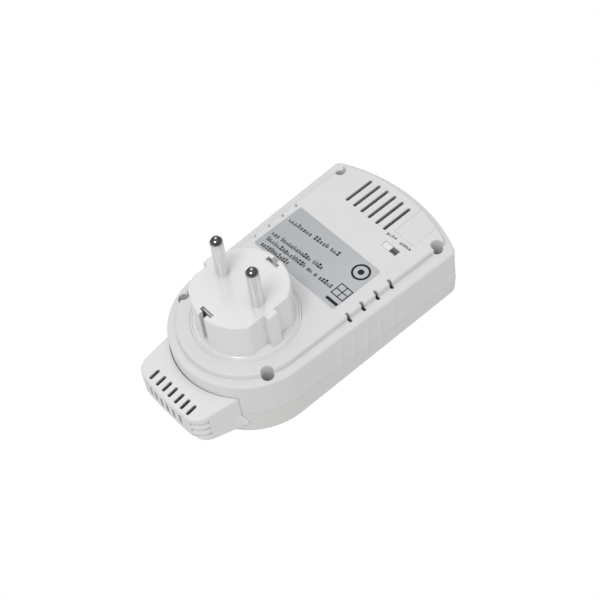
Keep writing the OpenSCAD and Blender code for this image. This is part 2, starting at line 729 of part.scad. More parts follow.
module sensor_wings() both_x() difference() {
  slab(-38.0, -44.4) polygon(wing_outline);
  case_bore();
  // slanted end
  translate([-19.35, -37.9, 0]) linear_extrude(height = 80, center = true)
    polygon([[0, 0], [-1.85, -4.6], [-6, -4.6], [-6, 3], [3, 3]]);
}
// passage through the neck over the given Z range
module neck_passage(z) block(about(0, 15), [-38.6, -32.4], z);
// neck through the case wall with a curved retaining flange
module sensor_neck() difference() {
  union() {
    block(about(0, neck_w), neck_y, [-32.5, -25.8]);
    slab(-29.6, -41.4) intersection() {
      difference() {
        circle(r = 26.85, $fn = 96);
        circle(r = 25.4, $fn = 96);
      }
      translate([-10.8, -40]) square([21.6, 20]);
    }
  }
  neck_passage([-40, -20]);
}
module sensor_housing() color(white) difference() {
  union() {
    sensor_shell();
    sensor_wings();
    sensor_neck();
  }
  neck_passage([-34, -20]);
  for (x = rear_slot_x) slab(sensor_rear + 1, sensor_rear - 3)
    translate([x, -36.7]) rotate(-6) slot_2d(0, about(0, 4.9), 1.35);
  for (x = end_slot_x) translate([0, 0, -45]) linear_extrude(height = 8)
    slot_2d(x, [-35.4, -29.7], 1.15);
  // louvres round both corners, one edge square to Y and the other sloping
  both_x() for (depth = louvre_d)
    translate([box_corner.x, 0, box_corner.y]) intersection() {
      turned([
        [5.1, depth], [7.2, depth], [7.2, depth + 2.35],
        [6.45, depth + 2.35], [5.1, depth + 1.1]], 96);
      rotate([90, 0, 0]) linear_extrude(height = 60)
        polygon([[0, 0], [20, -2.2], [20, -30], [6.6, -20]]);
    }
}
bead_at = [0, -33.4, -36.2];
module sensor_bead() color([0.10, 0.10, 0.10]) {
  translate(bead_at) sphere(r = 1.3, $fn = 32);
  translate(bead_at) cylinder(h = 2.4, r = 0.8, $fn = 24);
}

// ---------- wires: [x, y, z] along each run ----------
lead_run = [
  [0, -33.4, -33.1], [0, -34, -32], [4.75, -34.6, -27.4], [4.75, -34.5, -23.8],
  [4.75, -27.3, -23.6], [4.75, -27.2, 27.2], [4.75, -27.9, 28.3], [4.75, -27.8, 30.0]];
pin_run = [
  [9.5, -14.0, 0], [9.5, -14.0, 4.0], [9.0, -22.6, 7.0], [14.2, -24.6, 11.0],
  [14.2, -25.2, 26.0]];
contact_run = [[9.5, -25.9, 7.0], [9.5, -25.9, 20.0], [9.5, -25.2, 26.0]];
module sensor_lead() color([0.16, 0.16, 0.17]) wire(lead_run, 0.75);
// pin to board and contact to board, on the live (+X) and neutral (-X) sides
module feed_wires() color([0.45, 0.25, 0.16])
  for (side = [-1, 1], run = [pin_run, contact_run])
    wire([for (p = run) [side * p.x, p.y, p.z]], 0.9);

// ---------- fasteners ----------
module case_screws() color(metal) for (at = case_screws_at) difference() {
  union() {
    rod(at, head_y + 1.7, head_y, 2.2, 32);
    rod(at, head_y, front_y + 8, 1.38, 24);
  }
  translate([at.x, head_y + 1.7, at.y]) cross_recess(2.6, [-0.9, 1], 0.6);
}
module board_screws() color(metal) {
  for (at = board_screws_at) difference() {
    union() {
      rod(at, board_front, board_front - 1.4, 2.1, 32);
      rod(at, board_rear + 0.9, board_front, 0.97, 24);
    }
    translate([at.x, board_front - 1.4, at.y]) cross_recess(2.4, [-1, 0.7], 0.56);
  }
  front_frame() for (at = display_posts_at) {
    rod(at, display_rear + 1.1, display_rear, 1.8, 32);
    rod(at, display_rear, 3.0, 0.9, 24);
  }
}

rear_shell();
front_shell();
plug_body();
pin_live();
pin_neutral();
plug_earth_strap();
socket_insert();
socket_earth_clips();
earth_rivet();
contact_carrier();
contact_live();
contact_neutral();
shutter();
shutter_spring();
main_board();
relay();
suppression_capacitor();
electrolytic_capacitor();
varistor();
fuse_body();
fuse_caps();
controller_chip();
backup_cell();
sensor_connector();
display_board();
lcd_frame();
lcd_glass();
zebra_strips();
window_lens();
button_mode();
button_up();
button_down();
button_program();
button_set();
key_switches();
status_led();
switch_body();
switch_knob();
blanking_plate();
rating_label();
sensor_housing();
sensor_bead();
sensor_lead();
feed_wires();
case_screws();
board_screws();
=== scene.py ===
# A white plug-in unit with a tilted display face. X runs across the case and Z along its height.
# The display and buttons face -Y; the silver label and the plug pins face +Y.
import json
import math
import random

import bmesh
import bpy
from mathutils import Matrix, Vector


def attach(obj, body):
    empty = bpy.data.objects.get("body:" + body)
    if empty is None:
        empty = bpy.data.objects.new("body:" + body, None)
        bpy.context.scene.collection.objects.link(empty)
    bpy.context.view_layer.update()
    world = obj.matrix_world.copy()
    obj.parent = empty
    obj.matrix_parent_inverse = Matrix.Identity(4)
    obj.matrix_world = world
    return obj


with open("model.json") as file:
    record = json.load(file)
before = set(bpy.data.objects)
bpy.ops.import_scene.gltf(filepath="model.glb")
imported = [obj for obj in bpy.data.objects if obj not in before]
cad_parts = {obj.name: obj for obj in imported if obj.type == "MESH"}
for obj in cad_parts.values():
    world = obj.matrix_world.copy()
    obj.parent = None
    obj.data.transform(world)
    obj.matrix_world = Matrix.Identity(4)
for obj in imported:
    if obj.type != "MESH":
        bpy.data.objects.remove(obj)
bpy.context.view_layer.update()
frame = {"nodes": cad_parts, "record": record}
scene = bpy.context.scene

# Materials, lights, camera and floor are sized in metres; the small printed pieces in mm.
MM = 0.001
MATERIALS = {}  # every material by name, filled as they are made

# (x, z) of the screw recesses, mm
SCREWS = ((23.5, -10.2), (-23.5, -10.2), (26.3, 71.0), (-26.3, 71.0))


# ------------------------------------------------------------------ node helpers
class Graph:
    """Adds and links nodes in one node tree."""

    def __init__(self, tree):
        self.tree = tree

    def add(self, kind, inputs=None, **settings):
        """Add a node. Inputs map a socket's name or index to a value or an output socket."""
        node = self.tree.nodes.new("ShaderNode" + kind)
        for name, value in settings.items():
            setattr(node, name, value)
        for key, value in (inputs or {}).items():
            self.feed(node, key, value)
        return node

    def feed(self, node, key, value):
        socket = node.inputs[key]
        if isinstance(value, bpy.types.NodeSocket):
            self.tree.links.new(value, socket)
            return
        if socket.type == "RGBA" and len(value) == 3:
            value = (*value, 1.0)
        socket.default_value = value

    def calc(self, operation, a, b, clamp=False):
        node = self.add("Math", {0: a, 1: b}, operation=operation, use_clamp=clamp)
        return node.outputs[0]

    def plus(self, a, b):
        return self.calc("ADD", a, b)

    def times(self, a, b):
        return self.calc("MULTIPLY", a, b)

    def measure(self, operation, *vectors):
        """A vector operation that gives one number."""
        node = self.add("VectorMath", dict(enumerate(vectors)), operation=operation)
        return node.outputs["Value"]

    def ranged(self, value, start, end, low=0.0, high=1.0, **settings):
        """Map start..end to low..high."""
        inputs = {"Value": value, "From Min": start, "From Max": end,
                  "To Min": low, "To Max": high}
        return self.add("MapRange", inputs, **settings).outputs[0]

    def mix(self, factor, a, b):
        return self.add("Mix", {0: factor, 6: a, 7: b}, data_type="RGBA").outputs[2]

    def mix_shader(self, factor, a, b):
        return self.add("MixShader", {0: factor, 1: a, 2: b}).outputs[0]


class Material(Graph):
    """A new material with one Principled shader, textured in object space."""

    def __init__(self, name):
        material = bpy.data.materials.new(name)
        material.use_nodes = True
        super().__init__(material.node_tree)
        self.tree.nodes.clear()
        self.shader = self.add("BsdfPrincipled")
        self.add("OutputMaterial", {"Surface": self.shader.outputs[0]})
        self.place = self.add("TexCoord").outputs["Object"]
        MATERIALS[name] = material

    def surface(self, inputs):
        for key, value in inputs.items():
            self.feed(self.shader, key, value)

    def axes(self):
        return self.add("SeparateXYZ", {0: self.place}).outputs

    def noise(self, scale, detail=2.0, rough=0.5, stretch=None, distort=0.0):
        place = self.place
        if stretch:
            place = self.add("Mapping", {"Vector": place, "Scale": stretch}).outputs[0]
        inputs = {"Vector": place, "Scale": scale, "Detail": detail,
                  "Roughness": rough, "Distortion": distort}
        return self.add("TexNoise", inputs).outputs["Fac"]

    def spread(self, noise, low, high):
        """Stretch the middle of a noise over low..high."""
        return self.ranged(noise, start=0.3, end=0.7, low=low, high=high)

    def mottle(self, low, high, **noise):
        return self.spread(self.noise(**noise), low, high)

    def scaled(self, colour, factor):
        return self.add("HueSaturation", {"Color": colour, "Value": factor}).outputs[0]

    def bump(self, height, strength, distance, normal=None):
        inputs = {"Height": height, "Strength": strength, "Distance": distance}
        if normal is not None:
            inputs["Normal"] = normal
        return self.add("Bump", inputs).outputs[0]

    def round_normal(self, radius):
        return self.add("Bevel", {"Radius": radius}, samples=4).outputs[0]

    def edge(self, radius, gain):
        """1 on sharp edges, 0 on flats."""
        rounded = self.round_normal(radius)
        flat = self.add("NewGeometry").outputs["Normal"]
        turn = self.calc("SUBTRACT", 1.0, self.measure("DOT_PRODUCT", rounded, flat))
        return self.calc("MULTIPLY", turn, gain, clamp=True)

    def cavity(self, distance):
        """1 in enclosed places, 0 in the open."""
        node = self.add("AmbientOcclusion", {"Distance": distance}, samples=4)
        return self.calc("SUBTRACT", 1.0, node.outputs["AO"], clamp=True)


def srgb(*levels):
    """Linear colour from 0-255 sRGB levels."""
    return tuple(c / 255 / 12.92 if c / 255 <= 0.04045 else ((c / 255 + 0.055) / 1.055) ** 2.4
                 for c in levels)


def dimmed(colour, factor):
    return tuple(c * factor for c in colour)


# ------------------------------------------------------------------ material kinds
def darken_inside(mat, shade, colour, deep, reach, lit):
    """Painted shade: darker inside the case, where light barely reaches; the recesses in lit
    stay light.
    """
    dark = mat.ranged(mat.cavity(distance=0.02), start=reach[0], end=reach[1], high=deep)
    for x, z in lit:
        flat = mat.add("VectorMath", {0: mat.place, 1: (1, 0, 1)}, operation="MULTIPLY")
        away = mat.measure("DISTANCE", flat.outputs[0], (x * MM, 0, z * MM))
        dark = mat.times(dark, mat.ranged(away, start=0.0026, end=0.0034))
    return mat.mix(dark, shade, dimmed(colour, 0.03))


def plastic(name, levels, rough=0.42, grain=1.0, tint=0.02, warm=None, grime=0.10, wear_and_highlight=0.10,
            radius=0.00016, specular=0.5, fine=5200.0, deep=0.0, reach=(0.80, 0.96), lit=()):
    """Moulded plastic: eroded grain, gentle waviness, faint handling marks.

    tint is the colour variation, warm a second colour to blend in, fine the scale of the
    grain, deep how dark the painted shade inside gets, reach the cavity range over which it
    darkens.
    """
    mat = Material(name)
    colour = srgb(*levels)
    blotches = mat.noise(scale=42, detail=3, rough=0.55)
    mid = mat.noise(scale=640)
    specks = mat.noise(scale=3400)
    value = mat.plus(mat.spread(blotches, low=1 - tint, high=1 + tint),
                     mat.spread(mid, low=-tint * 0.35, high=tint * 0.35))
    value = mat.plus(value, mat.ranged(specks, start=0.35, end=0.65,
                                       low=-tint * 0.3, high=tint * 0.3))
    base = colour
    if warm:
        base = mat.mix(mat.ranged(mat.noise(scale=23), start=0.35, end=0.65),
                       colour, srgb(*warm))
    shade = mat.scaled(base, value)
    if grime:
        patches = mat.ranged(mat.noise(scale=260, detail=3), start=0.25, end=0.75, low=0.35)
        dust = mat.times(mat.cavity(distance=0.0022), patches)
        shade = mat.mix(mat.times(dust, grime), shade, dimmed(colour, 0.42))
    # Lighter sharp edges broken up by noise: partly rubbing wear, partly a painted highlight.
    if wear_and_highlight:
        rub_and_highlight = mat.times(mat.edge(radius * 1.6, gain=3.2),
                        mat.ranged(mat.noise(scale=420, detail=3), start=0.35, end=0.7))
        rubbed_and_highlit = tuple(min(1.0, c * 1.22 + 0.03) for c in colour)
        shade = mat.mix(mat.times(rub_and_highlight, wear_and_highlight), shade, rubbed_and_highlit)
    # painted shade inside the case
    if deep:
        shade = darken_inside(mat, shade, colour, deep, reach, lit)

    scuffs = mat.noise(scale=130, detail=4, rough=0.6, stretch=(1.0, 0.25, 3.0))
    roughness = mat.plus(mat.mottle(low=rough - 0.05, high=rough + 0.05, scale=75, detail=3),
                         mat.ranged(scuffs, start=0.58, end=0.72, high=0.07))
    roughness = mat.plus(roughness, mat.spread(mid, low=-0.02, high=0.02))

    normal = mat.round_normal(radius)
    normal = mat.bump(mat.noise(scale=90), strength=0.10, distance=0.00012, normal=normal)
    normal = mat.bump(mat.noise(scale=fine, detail=3, rough=0.6),
                      strength=0.16 * grain, distance=0.00003, normal=normal)
    # hair-fine scratches from handling, fainter on polished parts
    hairs = mat.noise(scale=1100, detail=1, stretch=(0.15, 1.0, 6.0), distort=0.3)
    normal = mat.bump(mat.ranged(hairs, start=0.70, end=0.74),
                      strength=0.05 if grain >= 0.5 else 0.012, distance=0.00001, normal=normal)
    mat.surface({"Base Color": shade, "Roughness": roughness,
                 "Specular IOR Level": specular, "Normal": normal})


def rubber(name, levels):
    plastic(name, levels, rough=0.62, grain=1.6, tint=0.05, grime=0.25, wear_and_highlight=0.12,
            radius=0.00022, specular=0.35, fine=4200)


def metal(name, colour, rough, brushed, tarnish, dark=0.5, streak=0.035, tip=None):
    """Brushed metal with tarnish spots; tip is (start y, end y, brightness beyond the end) of a
    painted dark reflection.
    """
    mat = Material(name)
    lines = mat.noise(scale=1.0, rough=0.6, stretch=brushed)
    spots = mat.noise(scale=420, detail=4, rough=0.6)
    shade = mat.mix(mat.times(mat.ranged(spots, start=0.45, end=0.7), tarnish),
                    colour, dimmed(colour, dark))
    shade = mat.scaled(shade, mat.ranged(lines, start=0.35, end=0.65,
                                         low=1.0 - streak, high=1.0 + streak * 0.75))
    # Painted dark reflection: the colour is darkened beyond the end of tip along y.
    if tip:
        start, end, brightness = tip
        shade = mat.scaled(shade, mat.ranged(mat.axes()[1], start, end,
                                             low=1.0, high=brightness))
    roughness = mat.plus(mat.spread(lines, low=rough - 0.05, high=rough + 0.06),
                         mat.ranged(spots, start=0.5, end=0.75, high=0.10))
    normal = mat.round_normal(radius=0.00006)
    normal = mat.bump(lines, strength=0.10, distance=0.00001, normal=normal)
    normal = mat.bump(mat.noise(scale=900, detail=3),
                      strength=0.06, distance=0.00002, normal=normal)
    mat.surface({"Base Color": shade, "Metallic": 1.0, "Roughness": roughness,
                 "Normal": normal})


def board(name):
    """Green circuit board with copper lines and round pads, drawn in the XZ plane."""
    mat = Material(name)
    axes = mat.axes()
    flat = mat.add("CombineXYZ", {0: axes[0], 1: axes[2]}).outputs[0]
    lines = mat.add("TexBrick", {
        "Vector": flat, "Scale": 190.0, "Mortar Size": 0.06, "Mortar Smooth": 0.2,
        "Bias": 0.0, "Brick Width": 0.9, "Row Height": 0.33}).outputs["Fac"]
    copper = mat.mix(lines, srgb(14, 42, 28), srgb(30, 72, 48))
    pads = mat.add("TexVoronoi", {"Vector": flat, "Scale": 330.0}).outputs["Distance"]
    dots = mat.ranged(pads, start=0.16, end=0.22, low=1.0, high=0.0)
    shade = mat.mix(dots, copper, srgb(120, 122, 118))
    mat.surface({
        "Base Color": mat.scaled(shade, mat.mottle(low=0.85, high=1.12, scale=300, detail=3)),
        "Roughness": mat.mottle(low=0.28, high=0.42, scale=800),
        "Normal": mat.bump(lines, strength=0.25, distance=0.00004,
                           normal=mat.round_normal(radius=0.0001))})


def label_foil(name):
    """Silvered polyester label: fine grain, slight ripples, a painted sheen lighter towards -X.
    """
    mat = Material(name)
    grain = mat.noise(scale=1.0, detail=3, rough=0.6, stretch=(900, 900, 9000))
    value = mat.plus(mat.mottle(low=0.975, high=1.02, scale=55, detail=3),
                     mat.spread(grain, low=-0.012, high=0.012))
    shade = mat.scaled(srgb(187, 190, 193), value)
    # painted shade: darker in hollows and next to raised parts
    shade = mat.mix(mat.times(mat.cavity(distance=0.0015), 0.25), shade, srgb(120, 121, 124))
    # painted highlight on the label's sharp edges
    shade = mat.mix(mat.times(mat.edge(radius=0.00025, gain=3.0), 0.4),
                    shade, srgb(214, 215, 216))
    # painted sheen: the label is lighter towards -X
    shade = mat.scaled(shade, mat.ranged(mat.axes()[0], start=-0.022, end=0.018,
                                         low=1.17, high=1.03))
    roughness = mat.plus(mat.mottle(low=0.44, high=0.52, scale=220, detail=3),
                         mat.spread(grain, low=-0.03, high=0.03))
    normal = mat.bump(mat.noise(scale=70), strength=0.20, distance=0.00012,
                      normal=mat.round_normal(radius=0.00006))
    normal = mat.bump(grain, strength=0.06, distance=0.00001, normal=normal)
    mat.surface({"Base Color": shade, "Metallic": 0.15, "Roughness": roughness,
                 "Normal": normal})


def ink(name, levels):
    mat = Material(name)
    mat.surface({
        "Base Color": mat.scaled(srgb(*levels), mat.mottle(low=0.75, high=1.3, scale=2600)),
        "Roughness": mat.mottle(low=0.44, high=0.56, scale=900),
        "Normal": mat.bump(mat.noise(scale=4000), strength=0.15, distance=0.00001)})


def clear(name, tint, rough):
    """Glass or clear plastic with faint scratches."""
    mat = Material(name)
    scratches = mat.noise(scale=900, stretch=(0.2, 1, 5.0), distort=0.4)
    haze = mat.ranged(mat.noise(scale=140, detail=3), start=0.4, end=0.75,
                      low=rough, high=rough + 0.05)
    mat.surface({
        "Base Color": mat.scaled(tint, mat.mottle(low=0.98, high=1.0, scale=60)),
        "Transmission Weight": 1.0,
        "IOR": 1.49,
        "Roughness": mat.plus(haze, mat.ranged(scratches, start=0.70, end=0.76, high=0.12)),
        "Normal": mat.bump(mat.noise(scale=120), strength=0.05, distance=0.00005)})


def lamp(name, levels):
    mat = Material(name)
    mat.surface({
        "Base Color": mat.scaled(srgb(*levels), mat.mottle(low=0.85, high=1.1, scale=700)),
        "Roughness": mat.mottle(low=0.12, high=0.24, scale=500),
        "Transmission Weight": 0.35,
        "Normal": mat.bump(mat.noise(scale=300), strength=0.05, distance=0.00003)})


def lcd(name):
    mat = Material(name)
    dots = mat.noise(scale=9000, detail=1)
    value = mat.plus(mat.mottle(low=0.96, high=1.03, scale=35),
                     mat.spread(dots, low=-0.03, high=0.03))
    mat.surface({
        "Base Color": mat.scaled(srgb(150, 160, 142), value),
        "Roughness": mat.mottle(low=0.20, high=0.30, scale=260, detail=3),
        "Normal": mat.bump(dots, strength=0.05, distance=0.00001)})


# ------------------------------------------------------------------ the materials
plastic("shell_white", (230, 229, 230), rough=0.40, warm=(229, 227, 228), tint=0.010,
        deep=0.95, reach=(0.70, 0.90), lit=SCREWS)
plastic("shell_front", (227, 226, 224), warm=(225, 224, 221), tint=0.012, deep=0.92)
plastic("plug_white", (233, 233, 233), rough=0.18, grain=0.30, tint=0.008, wear_and_highlight=0.0,
        deep=0.55, reach=(0.88, 1.0))
plastic("sensor_white", (235, 234, 235), rough=0.40, tint=0.010, deep=0.80,
        reach=(0.58, 0.95))
plastic("socket_white", (226, 226, 224), rough=0.36, grain=0.7, tint=0.012)
plastic("carrier_white", (214, 212, 204), rough=0.45)
plastic("shutter_white", (222, 221, 215), rough=0.40)
plastic("frame_white", (224, 223, 218), rough=0.45)
plastic("knob_white", (236, 236, 234), rough=0.36, grain=0.5)
plastic("switch_black", (108, 108, 110), rough=0.45, tint=0.05, wear_and_highlight=0.05, grime=0.0)
rubber("button_grey", (150, 153, 156))
rubber("rubber_dark", (38, 38, 40))
plastic("chip_black", (28, 28, 30), rough=0.5, tint=0.08)
plastic("relay_blue", (38, 60, 104), rough=0.35, tint=0.04)
plastic("capacitor_yellow", (196, 172, 74), rough=0.4, tint=0.05)
plastic("sleeve_dark", (34, 36, 52), rough=0.3, tint=0.06)
plastic("varistor_blue", (52, 86, 150), rough=0.35, tint=0.06)
plastic("connector_cream", (228, 222, 200))
plastic("bead_black", (22, 22, 22), rough=0.30, tint=0.1)
plastic("lead_black", (34, 34, 36), rough=0.5, tint=0.08)
plastic("wire_brown", (104, 62, 40), tint=0.06)
# the pin tips get a painted dark reflection
metal("pin_nickel", (0.88, 0.868, 0.858), rough=0.12, brushed=(1500, 45, 1500),
      tarnish=0.12, streak=0.15, tip=(0.0166, 0.0173, 0.60))
metal("contact_brass", (0.72, 0.55, 0.27), rough=0.26, brushed=(5000, 400, 400),
      tarnish=0.35, dark=0.55)
metal("steel_bright", (0.60, 0.60, 0.595), rough=0.40, brushed=(1500, 1500, 1500),
      tarnish=0.2)
metal("screw_steel", (0.58, 0.58, 0.57), rough=0.28, brushed=(2500, 600, 2500), tarnish=0.3)
board("board_green")
label_foil("label_grey")
clear("lens_clear", tint=(0.93, 0.95, 0.95), rough=0.06)
clear("fuse_glass", tint=(0.90, 0.95, 0.93), rough=0.03)
lamp("lamp_red", (176, 34, 24))
lcd("lcd_grey")
ink("ink_dark", (14, 14, 16))
ink("ink_grey", (84, 85, 88))
ink("ink_ghost", (118, 128, 112))
ink("ink_line", (120, 122, 124))

# ------------------------------------------------------------------ finishes on the CAD pieces
slots = {part["node"]: part["material_slot"] for part in frame["record"]["subparts"]}
for name, piece in frame["nodes"].items():
    piece.data.materials.clear()
    piece.data.materials.append(MATERIALS[slots[name]])


# ------------------------------------------------------------------ mesh helpers, in mm
def add_piece(name, mesh, material):
    """Turn a finished bmesh into an object that rides on the case."""
    data = bpy.data.meshes.new(name)
    mesh.normal_update()
    mesh.to_mesh(data)
    mesh.free()
    piece = bpy.data.objects.new(name, data)
    scene.collection.objects.link(piece)
    data.materials.append(MATERIALS[material])
    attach(piece, "case")


def add_corner(mesh, x, y, z, place):
    return mesh.verts.new(place @ Vector((x * MM, y * MM, z * MM)))


def add_box(mesh, x_span, y_span, z_span, place=Matrix()):
    corners = [add_corner(mesh, x, y, z, place)
               for x in x_span for y in y_span for z in z_span]
    for face in ((0, 1, 3, 2), (4, 6, 7, 5), (0, 4, 5, 1),
                 (2, 3, 7, 6), (0, 2, 6, 4), (1, 5, 7, 3)):
        mesh.faces.new([corners[i] for i in face])


def add_bar(mesh, x, z, half_x, half_z, y_span, place):
    """A box centred on (x, z)."""
    add_box(mesh, (x - half_x, x + half_x), y_span, (z - half_z, z + half_z), place)


def add_plate(mesh, points, y_span, place=Matrix()):
    """A prism over y_span from (x, z) points in order."""
    following = points[1:] + points[:1]
    area = sum(a[0] * b[1] - b[0] * a[1] for a, b in zip(points, following))
    if area < 0:
        points = points[::-1]
    low, high = ([add_corner(mesh, x, y, z, place) for x, z in points] for y in y_span)
    mesh.faces.new(low)
    mesh.faces.new(high[::-1])
    for i in range(len(points)):
        after = (i + 1) % len(points)
        mesh.faces.new([low[i], high[i], high[after], low[after]])


def circle_points(x, z, radius, sweep, count):
    """Points from 0 to sweep degrees, both ends included."""
    angles = [math.radians(sweep * i / count) for i in range(count + 1)]
    return [(x + radius * math.cos(a), z + radius * math.sin(a)) for a in angles]


def add_ring(mesh, x, z, radius, width, y_span, count, place=Matrix()):
    outer = circle_points(x, z, radius + width / 2, 360, count)
    inner = circle_points(x, z, radius - width / 2, 360, count)
    for i in range(count):
        add_plate(mesh, [outer[i], outer[i + 1], inner[i + 1], inner[i]], y_span, place)


# ------------------------------------------------------------------ print on the +Y side
BACK_Y = -17.55  # the case face around the label
LABEL_Y = BACK_Y + 0.14
LABEL_INK = (LABEL_Y - 0.004, LABEL_Y + 0.012)
BACK_INK = (BACK_Y - 0.01, BACK_Y + 0.012)
WORD_GAP = 0.8  # in letter steps

rng = random.Random(7)


def add_filler_line(mesh, start, end, words, height, y_span):
    """Unreadable filler from start to end, read towards -X; words are letter counts."""
    length = math.hypot(end[0] - start[0], end[1] - start[1])
    step = length / (sum(words) + WORD_GAP * (len(words) - 1))
    along_x, along_z = (end[0] - start[0]) / length, (end[1] - start[1]) / length
    up_x, up_z = along_z, -along_x
    reached = 0.0
    for letters in words:
        for _ in range(letters):
            width = step * rng.uniform(0.66, 0.90)
            tall = rng.choice((0.62, 0.62, 1.0, 0.82, 1.0))
            left, right = reached + (step - width) / 2, reached + (step + width) / 2
            foot, top = -height / 2, -height / 2 + height * tall
            rise = top - foot
            # two cells a letter, as (left, right, foot, top): side by side or stacked
            if rng.random() < 0.45:
                cells = [(left, left + width * 0.36, foot, top),
                         (left + width * 0.62, right, foot,
                          foot + rise * rng.uniform(0.5, 0.9))]
            else:
                cells = [(left, right, foot, foot + rise * 0.38),
                         (left + width * 0.1, right - width * 0.1, foot + rise * 0.52, top)]
            for a, b, c, d in cells:
                add_plate(mesh, [(start[0] + along_x * s + up_x * t,
                                  start[1] + along_z * s + up_z * t)
                                 for s, t in ((a, c), (b, c), (b, d), (a, d))], y_span)
            reached += step
        reached += step * WORD_GAP


def add_filler(name, lines, height, y_span, material):
    mesh = bmesh.new()
    for start, end, words in lines:
        add_filler_line(mesh, start, end, words, height, y_span)
    add_piece(name, mesh, material)


def add_label_marks():
    """A ring with a dot, a plain bar and a window grid."""
    mesh = bmesh.new()
    x, z = -15.6, 42.6
    add_ring(mesh, x, z, radius=3.3, width=0.85, y_span=LABEL_INK, count=40)
    # the sweep stops short so that the first point is not repeated
    add_plate(mesh, circle_points(x, z, radius=1.25, sweep=346, count=26), LABEL_INK)
    add_plate(mesh, [(-14.55, 26.85), (-20.35, 26.9), (-20.35, 25.65), (-14.55, 25.6)],
              LABEL_INK)
    half = 0.22  # half the width of a grid line
    uprights = (-14.4, -17.45, -20.2)
    for x in uprights:
        add_box(mesh, (x - half, x + half), LABEL_INK, (28.6, 34.4))
    # the crossing lines sit a hair higher, so that no faces coincide
    raised = [y + 0.0005 for y in LABEL_INK]
    for z in (28.8, 31.5, 34.2):
        add_box(mesh, (uprights[-1] - half, uprights[0] + half), raised, (z - half, z + half))
    add_piece("label_marks", mesh, "ink_dark")


# lines of filler: start (x, z), end (x, z), letters in each word
LABEL_LINES = (
    ((21.9, 40.9), (-4.2, 42.7), (8, 5, 3)),
    ((21.8, 32.25), (-4.3, 34.1), (3, 12, 4)),
    ((21.3, 29.2), (-13.0, 30.8), (15, 2, 1, 5)),
    ((20.9, 26.0), (6.4, 26.8), (12,)),
)
SWITCH_LINES = (
    ((-9.1, 62.15), (-13.9, 62.95), (4,)),
    ((-15.7, 62.25), (-21.4, 62.75), (4,)),
)
add_filler("label_filler_lines", LABEL_LINES, 2.1, LABEL_INK, "ink_dark")
add_label_marks()
add_filler("switch_marks", SWITCH_LINES, 1.35, BACK_INK, "ink_grey")

# ------------------------------------------------------------------ print on the front, -Y side
FRONT_TILT = math.radians(3.2)
FRONT = Matrix.Translation(Vector((0, -51 * MM, 0))) @ Matrix.Rotation(-FRONT_TILT, 4, "X")
DISPLAY_INK = (2.62, 2.71)  # depth behind the front face
FRONT_INK = (-0.012, 0.004)


def add_display_cells():
    """Four cells of seven bars, two dots between the pairs, and a row of ticks at each end."""
    mesh = bmesh.new()
    middle_z = 62.9
    bar_rise = 4.3  # between the level bars of a cell
    half = 0.36  # half the thickness of a bar
    for x in (-13.2, -7.0, 2.4, 8.6):
        for dz in (bar_rise, 0.0, -bar_rise):
            add_bar(mesh, x, middle_z + dz, 1.75, half, DISPLAY_INK, FRONT)
        for dx in (-2.2, 2.2):
            for dz in (-bar_rise / 2, bar_rise / 2):
                add_bar(mesh, x + dx, middle_z + dz, half, 1.65, DISPLAY_INK, FRONT)
    for z in (61.2, 64.6):
        add_bar(mesh, -2.35, z, 0.35, 0.35, DISPLAY_INK, FRONT)
    for i in range(7):
        x = -16.6 + i * 4.9
        add_box(mesh, (x, x + 3.0), DISPLAY_INK, (70.6, 71.3), FRONT)
        add_box(mesh, (x, x + 2.0), DISPLAY_INK, (56.3, 56.8), FRONT)
    add_piece("display_cells", mesh, "ink_ghost")


def add_button_marks():
    """A ring, two triangles, three rising bars, a dot and a short line."""
    mesh = bmesh.new()
    ring_place = FRONT @ Matrix.Translation(Vector((-14.5 * MM, 0, 39.4 * MM)))
    add_ring(mesh, 0, 0, radius=1.15, width=0.32, y_span=FRONT_INK, count=28,
             place=ring_place)
    add_plate(mesh, [(-0.95, 38.8), (0.95, 38.8), (0, 40.1)], FRONT_INK, FRONT)
    add_plate(mesh, [(13.55, 40.1), (15.45, 40.1), (14.5, 38.8)], FRONT_INK, FRONT)
    for i in range(3):
        x = -12.0 + i * 1.5
        add_box(mesh, (x, x + 0.9), FRONT_INK, (28.7, 29.3 + 0.35 * i), FRONT)
    dot = circle_points(10.2, 29.2, radius=0.75, sweep=342, count=22)
    add_plate(mesh, dot, FRONT_INK, FRONT)
    add_box(mesh, (-1.6, 1.6), FRONT_INK, (47.4, 47.7), FRONT)
    add_piece("button_marks", mesh, "ink_line")


add_display_cells()
add_button_marks()

# ------------------------------------------------------------------ camera
CAMERA_PLACE = Vector((-0.23738123709656213, 0.366400271266964, -0.1436541812841049))
# the camera's own axes in the scene: right, up, back
CAMERA_AXES = Matrix((
    (-0.6655122705976165, -0.08283116966683074, 0.7417765263309626),
    (0.570950061079359, 0.583612666529922, 0.5774186377484796),
    (-0.4807384376534507, 0.8077965417092712, -0.34110892947130633),
))

camera_data = bpy.data.cameras.new("photo_camera")
camera_data.sensor_width = 36.0
camera_data.lens = 78.65448
camera_data.clip_start = 0.01
camera_data.clip_end = 20
camera = bpy.data.objects.new("photo_camera", camera_data)
scene.collection.objects.link(camera)
camera.matrix_world = Matrix.Translation(CAMERA_PLACE) @ CAMERA_AXES.transposed().to_4x4()
scene.camera = camera

# ------------------------------------------------------------------ lights
LIGHT_TARGET = Vector((0, -0.02, 0.025))


def add_light(name, location, size, power):
    """A round area light aimed at the middle of the case."""
    data = bpy.data.lights.new(name, "AREA")
    data.shape = "DISK"
    data.size = size
    data.energy = power
    light = bpy.data.objects.new(name, data)
    scene.collection.objects.link(light)
    light.location = location
    light.rotation_mode = "QUATERNION"
    light.rotation_quaternion = (LIGHT_TARGET - Vector(location)).to_track_quat("-Z", "Y")


add_light("key", location=(-0.11, 0.78, -0.36), size=0.30, power=1.82)
add_light("fill_front", location=(0.32, -0.80, 0.36), size=0.60, power=2.6)
add_light("rim_front", location=(0.62, -0.46, 0.10), size=0.35, power=1.4)

